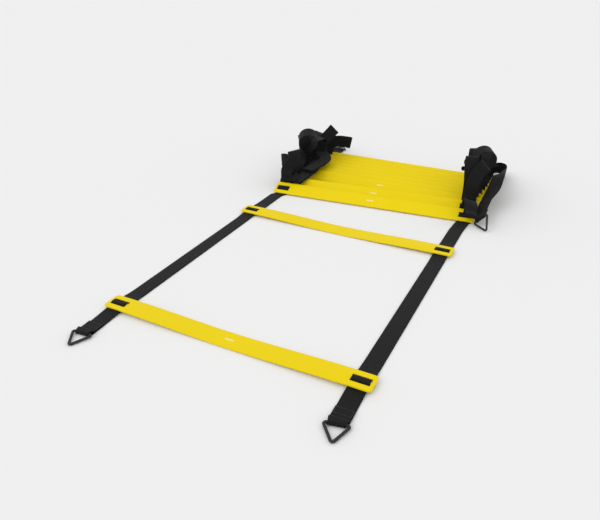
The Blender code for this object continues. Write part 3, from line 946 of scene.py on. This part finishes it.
def swung(one, other, angle):
    return one * cos(angle) + other * sin(angle), other * cos(angle) - one * sin(angle)


# A loop's middle line rises from its foot, and can twist, bend over its flat side and lean on its edge
def loopSpine(foot, backward, length, turns, side):
    steps = heap["spineSteps"]
    point, heading, flat = foot, np.array([0, 0, 1.0]), backward
    width = np.cross(flat, heading)
    stations = [np.concatenate([point, heading, flat])]
    for twist, bend, lean in turns:
        for _ in range(steps):
            flat, width = swung(flat, width, side * radians(twist) / steps)
            heading, flat = swung(heading, flat, radians(bend) / steps)
            heading, width = swung(heading, width, side * radians(lean) / steps)
            point = point + heading * length / (steps * len(turns))
            stations.append(np.concatenate([point, heading, flat]))
    return np.array(stations)


# Both strands of a loop follow its middle line and part round its end
def loopSections(foot, backward, legGap, length, bulb, turns, side):
    stations = loopSpine(foot, backward, length, turns, side)
    travelled = between(0, length, len(stations) - 1)
    gap = heap["strandGap"]
    runs = []
    straight = length - bulb
    parting = heap["partingRatio"] * bulb
    for along in between(0, straight, heap["straightSteps"]):
        apart = gap + (legGap - gap) * (1 - eased(along / heap["legRise"]))
        apart += (bulb - gap) * eased((along - straight + parting) / parting)
        runs.append((along, apart))
    for turn in between(0, pi / 2, heap["roundSteps"])[1:]:
        runs.append((straight + bulb * sin(turn), bulb * cos(turn)))
    front, rear = [], []
    for along, apart in runs:
        place = [np.interp(along, travelled, column) for column in stations.T]
        point, heading, flat = (np.array(place[k:k + 3]) for k in (0, 3, 6))
        width = np.cross(flat, heading)
        front.append((point - flat * apart, width))
        rear.append((point + flat * apart, width))
    return front + rear[::-1]


# One bay's slack: its loops stand on their legs behind the rung, with a valley between two of them
def slackSections(start, end, span, rung, after, side, loops, slack):
    middle = (rung.along + after.along) / 2
    backward = np.cross(np.array([0, 0, 1.0]), middle / np.linalg.norm(middle))
    shares = heap["legShares"]
    height = np.array([0, 0, loops[0] * mm])
    legs = [start + height + backward * span * share for share in shares]
    lower, upper = heap["legRise"], webbing["bay"]
    steps = heap["legSteps"]
    for _ in range(heap["halvings"]):
        size = (lower + upper) / 2
        made = [(start + height * i / steps, rung.along) for i in range(steps)]
        for i, (share, bulb, *turns) in enumerate(loops[1:]):
            first, last = legs[2 * i], legs[2 * i + 1]
            legGap = span * (shares[2 * i + 1] - shares[2 * i]) / 2
            foot = (first + last) / 2
            made += loopSections(foot, backward, legGap, size * share, bulb * mm, turns, side)
            if i + 2 < len(loops):
                radius = span * (shares[2] - shares[1]) / 2
                for along, up in arc((radius, 0), radius, pi, 2 * pi, heap["valleySteps"])[1:-1]:
                    made.append((last + backward * along + np.array([0, 0, up]), middle))
            else:
                drop = last[2] - end[2]
                for fall in between(0, 1, heap["fallSteps"])[1:-1]:
                    lean = eased(fall)
                    point = last * (1 - lean) + end * lean
                    point[2] = last[2] - drop * fall
                    made.append((point, middle * (1 - fall) + after.along * fall))
        if lengthOf([start] + [p for p, w in made] + [end]) > slack:
            upper = size
        else:
            lower = size
    return made


# Where two rungs overlap, the strap rounds the back edge of one and then the front edge of the other
def crossingPath(backEdge, tilt):
    v, h = backEdge
    wide = min(max(h - over, over), webbing["crossingRatio"] * over)
    across, drop = -halfWidth - v, -h
    turn = atan2(drop, across) + acos((wide + under) / hypot(across, drop))
    path = arc(backEdge, wide, -tilt, min(turn, -tilt))
    return path + arc((-halfWidth, 0), under, turn + pi, 3 * pi / 2, webbing["crossingSteps"])


def gatheredPath(side, rungs, bays):
    first = rungs[0]
    edge = first.at(side, -halfWidth, -under)
    low = webbing["thickness"] / 2
    x = side * rungShape["slotSpacing"] / 2
    sections = [(p, w) for p, w, size in flatSections(side, webbing["bay"], foldThree)]
    lead = edge - first.across * halfWidth / 4
    sections.append((np.array([(lead[0] + x) / 2, lead[1], low]), first.along))
    sections.append((edge, first.along))
    for i, rung in enumerate(rungs):
        weave = [(rung.at(side, v, h), rung.along) for v, h in weavePath()]
        sections += weave
        if i + 1 == len(rungs):
            break
        after = rungs[i + 1]
        leaving = [(rung.at(side, v, h), rung.along)
                   for v, h in arc((halfWidth, 0), under, -pi / 2, -rung.tilt)]
        v, h = after.local(side, rung.at(side, halfWidth, 0))
        if v > -halfWidth - under - over - webbing["thickness"]:
            arrive = crossingPath((v, h), after.tilt)
        else:
            arrive = arc((-halfWidth, 0), under, pi - after.tilt, 3 * pi / 2, webbing["edgeSteps"])
        arriving = [(after.at(side, a, b), after.along) for a, b in arrive]
        start, end = leaving[-1][0], arriving[0][0]
        span = after.at(side, halfWidth, 0)[1] + under - start[1]
        used = lengthOf([p for p, w in weave]) + lengthOf([p for p, w in leaving])
        slack = webbing["bay"] - used - lengthOf([p for p, w in arriving])
        bay = slackSections(start, end, span, rung, after, side, bays[i], slack)
        sections += leaving + bay + arriving
    return sections


# A strap's end that runs through chosen places, each with its roll
def tailSections(places):
    steps = tails["steps"]
    points = [np.array(p[:3]) for p in places]
    rolls = [p[3] for p in places]
    points = [2 * points[0] - points[1]] + points + [2 * points[-1] - points[-2]]
    rolls = [rolls[0]] + rolls + [rolls[-1]]
    line = []
    for i in range(1, len(points) - 2):
        for k in range(steps):
            u = k / steps
            shares = np.array([-u + 2 * u * u - u ** 3, 2 - 5 * u * u + 3 * u ** 3,
                               u + 4 * u * u - 3 * u ** 3, u ** 3 - u * u]) / 2
            line.append((sum(s * p for s, p in zip(shares, points[i - 1:i + 3])),
                         rolls[i] + (rolls[i + 1] - rolls[i]) * eased(u)))
    line.append((points[-2], rolls[-2]))
    for point, roll in line:
        point[2] = max(point[2], webbing["thickness"] / 2)
    sections = []
    for i, (point, roll) in enumerate(line):
        ahead = line[min(i + 1, len(line) - 1)][0] - line[max(i - 1, 0)][0]
        ahead /= np.linalg.norm(ahead)
        level = np.cross(ahead, np.array([0, 0, 1.0]))
        level /= np.linalg.norm(level)
        raised = np.cross(level, ahead)
        sections.append((point, level * cos(roll) + raised * sin(roll)))
    return sections


tails = {
    "out": 35 * mm,
    "back": 72 * mm,
    "height": 17 * mm,
    "ringY": 517 * mm,
    "steps": 10,
    "turnShares": [(0.02, 0.3, 1.15, 25), (0.08, 0.65, 1.0, 75), (0.25, 0.93, 0.85, 90),
                   (0.55, 1.0, 0.83, 90), (0.85, 0.87, 0.83, 90), (0.95, 0.5, 0.88, 95)],
    "runShares": [(0.86, 0.84, 2.2, 130), (1.02, 0.6, 3.1, 160), (1.06, 0.38, 2.5, 172),
                  (0.86, 0.17, 1.5, 150), (1.0, 0, 1.0, 131)],
}


def leftTail(rung):
    low = webbing["thickness"] / 2
    start = rung.at(-1, halfWidth, -under)
    barY = rung.centre[1] + webbing["tab"]
    clear = webbing["hem"] / 4
    places = [(*start, 0), (*(start + rung.across * clear), 0)]
    places.append((start[0], start[1] + 3 * clear, low + start[2] / 4, 0))
    places.append((start[0], start[1] + 5 * clear, low, 0))
    places.append((start[0], barY - webbing["hem"] - webbing["seatGap"], low, 0))
    bar = np.array([start[0], barY, low + eyeRadius])
    return places, (bar, np.array([0, 1.0, 0]), np.array([1.0, 0, 0]))


def rightTail(rung):
    start = rung.at(1, halfWidth, -under)
    places = [(*start, 0)]
    for out, back, height, roll in tails["turnShares"]:
        places.append((start[0] + out * tails["out"], start[1] + back * tails["back"],
                       height * tails["height"], radians(roll)))
    bar = np.array([start[0] + tails["out"], tails["ringY"], tails["height"]])
    for out, along, height, roll in tails["runShares"]:
        y = bar[1] + webbing["hem"] + (start[1] - bar[1] - webbing["hem"]) * along
        places.append((start[0] + out * tails["out"], y, height * tails["height"], radians(roll)))
    roll = radians(tails["runShares"][-1][3])
    heading = np.array([0, -1.0, 0])
    width = np.array([-cos(roll), 0, sin(roll)])
    lift = np.cross(width, heading)
    end = bar - heading * webbing["hem"] - lift * eyeRadius
    places[-1] = (end[0], end[1] - heading[1] * webbing["seatGap"], end[2], roll)
    return places, (bar, heading, width)


def gatheredStrap(side, rungs, bays):
    sections = [(p, w / np.linalg.norm(w), webbing["width"]) for p, w in gatheredPath(side, rungs, bays)]
    places, (bar, heading, width) = leftTail(rungs[-1]) if side < 0 else rightTail(rungs[-1])
    for point, direction in tailSections(places)[:-1]:
        sections.append((point, direction, webbing["width"]))
    return sections + eyeSections(bar, heading, width, width), (bar, heading, width)


eyeHolds, ringHolds = {}, {}
for side, word, bays in ((-1, "left", leftLoops), (1, "right", rightLoops)):
    x = side * rungShape["slotSpacing"] / 2

    # Where the webbing's bend at a fold line starts and where it ends
    def foldSpan(y):
        halfBend, z = webbing["foldMargin"], strapHeight(y)
        return [(x + ladderPlace[0], y + reach + ladderPlace[1], z) for reach in (-halfBend, halfBend)]

    front, back = f"front_{word}_ring", f"back_{word}_ring"
    lean, turn = (radians(a) for a in frontTab[word])
    sections, eyeHolds[front], ringHolds[front] = tabSections(side, lean, turn)
    piece = webbingStrip(f"{word}_front_tab_webbing", sections)
    start, end = foldSpan(foldOne)
    dressBend(piece, webbingFinish, f"{word}_tab", "front_bay", start, end, "webbing", f"{word}_front_tab")

    piece = webbingStrip(f"{word}_front_bay_webbing", flatSections(side, 0, webbing["bay"]))
    start, end = foldSpan(foldTwo)
    dressBend(piece, webbingFinish, "front_bay", "rear_bay", start, end, "webbing", f"{word}_front_bay_strap")

    sections, eyeHolds[back] = gatheredStrap(side, gathered, bays)
    ringHolds[back] = eyeHolds[back]
    piece = webbingStrip(f"{word}_gathered_webbing", sections)
    start, end = foldSpan(foldThree)
    dressBend(piece, webbingFinish, "rear_bay", "pile", start, end, "webbing",
              f"{word}_rear_bay_strap", f"{word}_gathered_strap")

    for number, y, body in ((1, 0, "first_rung"), (2, webbing["bay"], "second_rung")):
        places = [np.array([x, y + v, rungShape["laidHeight"] + h]) for v, h in shortWeavePath()]
        sections = [(place, np.array([1.0, 0, 0]), webbing["width"]) for place in places]
        piece = webbingStrip(f"rung_{number:02d}_{word}_weave_webbing", sections)
        dress(piece, webbingFinish, body, "webbing", f"rung_{number:02d}_{word}_weave")
print("webbing laid")


# Each sewn eye is closed by a box of stitches through both layers of webbing
stitchShape = {
    "length": 2.0 * mm,
    "width": 0.55 * mm,
    "height": 0.3 * mm,
    "acrossPitch": 2.7 * mm,
    "acrossCount": 8,
    "alongPitch": 2.5 * mm,
    "alongCount": 4,
    "inset": 1.6 * mm,
    "edgeSegments": 2,
}


def stitchLine(count, pitch, turned):
    s = stitchShape
    deselectAll()
    bpy.ops.mesh.primitive_cube_add(size=1, location=(0, 0, 0))
    stitch = bpy.context.object
    startEditing(stitch)
    bpy.ops.transform.resize(value=(s["length"], s["width"], s["height"]))
    bpy.ops.mesh.bevel(offset=s["height"] / 3, segments=s["edgeSegments"], affect="EDGES")
    if turned:
        bpy.ops.transform.rotate(value=pi / 2, orient_axis="Z", center_override=(0, 0, 0))
    step = (0, pitch, 0) if turned else (pitch, 0, 0)
    bpy.ops.transform.translate(value=[-c * (count - 1) / 2 for c in step])
    stopEditing()
    applyModifier(stitch, "ARRAY", count=count, use_relative_offset=False, use_constant_offset=True,
                  constant_offset_displace=step)
    return stitch


def stitchBox(name, hold, body):
    bar, heading, width = hold
    s = stitchShape
    lift = np.cross(width, heading)
    closed = webbing["thickness"] + webbing["passGap"] - eyeRadius
    surface = closed + webbing["thickness"] / 2 + s["height"] / 4
    back = webbing["hem"] * eyeShape["joinShare"] + webbing["hem"] * eyeShape["sewnShare"] - s["inset"]
    boxLength = s["alongPitch"] * s["alongCount"]
    boxWidth = s["acrossPitch"] * s["acrossCount"]
    lines = []
    for y in (0, boxLength):
        lines.append((stitchLine(s["acrossCount"], s["acrossPitch"], False), 0, y))
    for x in (-boxWidth / 2, boxWidth / 2):
        lines.append((stitchLine(s["alongCount"], s["alongPitch"], True), x, boxLength / 2))
    for line, x, y in lines:
        line.location = (x, y, 0)
    choose(*[line for line, x, y in lines])
    bpy.ops.object.join()
    box = bpy.context.object
    box.name = name
    box.data.name = name
    corner = bar - heading * back + lift * surface + ladderPlace
    columns = np.column_stack([width, heading, lift, corner])
    settle(box, Matrix([list(row) for row in columns] + [[0, 0, 0, 1]]))
    box.data.materials.append(threadFinish)
    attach(box, body)


for node, hold in eyeHolds.items():
    end, side, _ = node.split("_")
    body = f"{side}_tab" if end == "front" else "pile"
    stitchBox(f"{end}_{side}_eye_stitching", hold, body)
print("eyes stitched")


# Rings: bent steel wire, a triangle with rounded corners, its bar held in the webbing's eye

ringShape = {
    "wire": 3.8 * mm,
    "width": 33 * mm,
    "depth": 30 * mm,
    "cornerRadius": 2.6 * mm,
    "sides": 20,
    "cornerSteps": 10,
    "weldReach": 0.02 * mm,
    "tipDrop": 1.2 * mm,
    "leaningPitch": 52,
}


def modelRing():
    s = ringShape
    radius = s["cornerRadius"]
    corner = (s["width"] - s["wire"]) / 2 + radius * (1 / tan(pi / 6) - 1)
    depth = s["depth"] - s["wire"] + radius
    baseAngle = atan2(depth, corner)
    tipAngle = pi - 2 * baseAngle
    baseRun = radius / tan(baseAngle / 2)
    tipRun = radius / tan(tipAngle / 2)
    legLength = hypot(corner, depth) - baseRun - tipRun
    deselectAll()
    bpy.ops.mesh.primitive_circle_add(vertices=s["sides"], radius=s["wire"] / 2, location=(0, 0, 0),
                                      rotation=(0, pi / 2, 0))
    ring = bpy.context.object
    choose(ring)
    bpy.ops.object.transform_apply(location=True, rotation=True, scale=True)
    startEditing(ring)

    def run(x, y):
        bpy.ops.mesh.extrude_region_move(TRANSFORM_OT_translate={"value": (x, y, 0)})

    def turn(centre, angle):
        bpy.ops.mesh.spin(steps=s["cornerSteps"], angle=-angle, center=centre, axis=(0, 0, 1))

    run(corner - baseRun, 0)
    turn((corner - baseRun, radius, 0), pi - baseAngle)
    legWay = Vector((-cos(baseAngle), sin(baseAngle), 0))
    run(legWay.x * legLength, legWay.y * legLength)
    tipCentre = Vector((0, depth - radius / sin(tipAngle / 2), 0))
    turn(tuple(tipCentre), pi - tipAngle)
    run(legWay.x * legLength, -legWay.y * legLength)
    turn((-corner + baseRun, radius, 0), pi - baseAngle)
    run(corner - baseRun, 0)
    bpy.ops.mesh.select_all(action="SELECT")
    bpy.ops.mesh.remove_doubles(threshold=s["weldReach"])
    bpy.ops.mesh.normals_make_consistent(inside=False)
    stopEditing()
    choose(ring)
    bpy.ops.object.shade_smooth()
    return ring


plainRing = modelRing()
for node, (bar, heading, width) in ringHolds.items():
    if node == "back_right_ring":
        pitch = radians(ringShape["leaningPitch"])
    else:
        pitch = -asin(ringShape["tipDrop"] / (ringShape["depth"] - ringShape["wire"]))
    lift = np.cross(width, heading)
    tip = heading * cos(pitch) + lift * sin(pitch)
    columns = np.column_stack([width, tip, np.cross(width, tip), bar + ladderPlace])
    piece = copyOf(plainRing, f"{node}_wire")
    settle(piece, Matrix([list(row) for row in columns] + [[0, 0, 0, 1]]))
    dress(piece, steelFinish, node, "ring_steel", node)
bpy.data.objects.remove(plainRing, do_unlink=True)
print("rings bent")
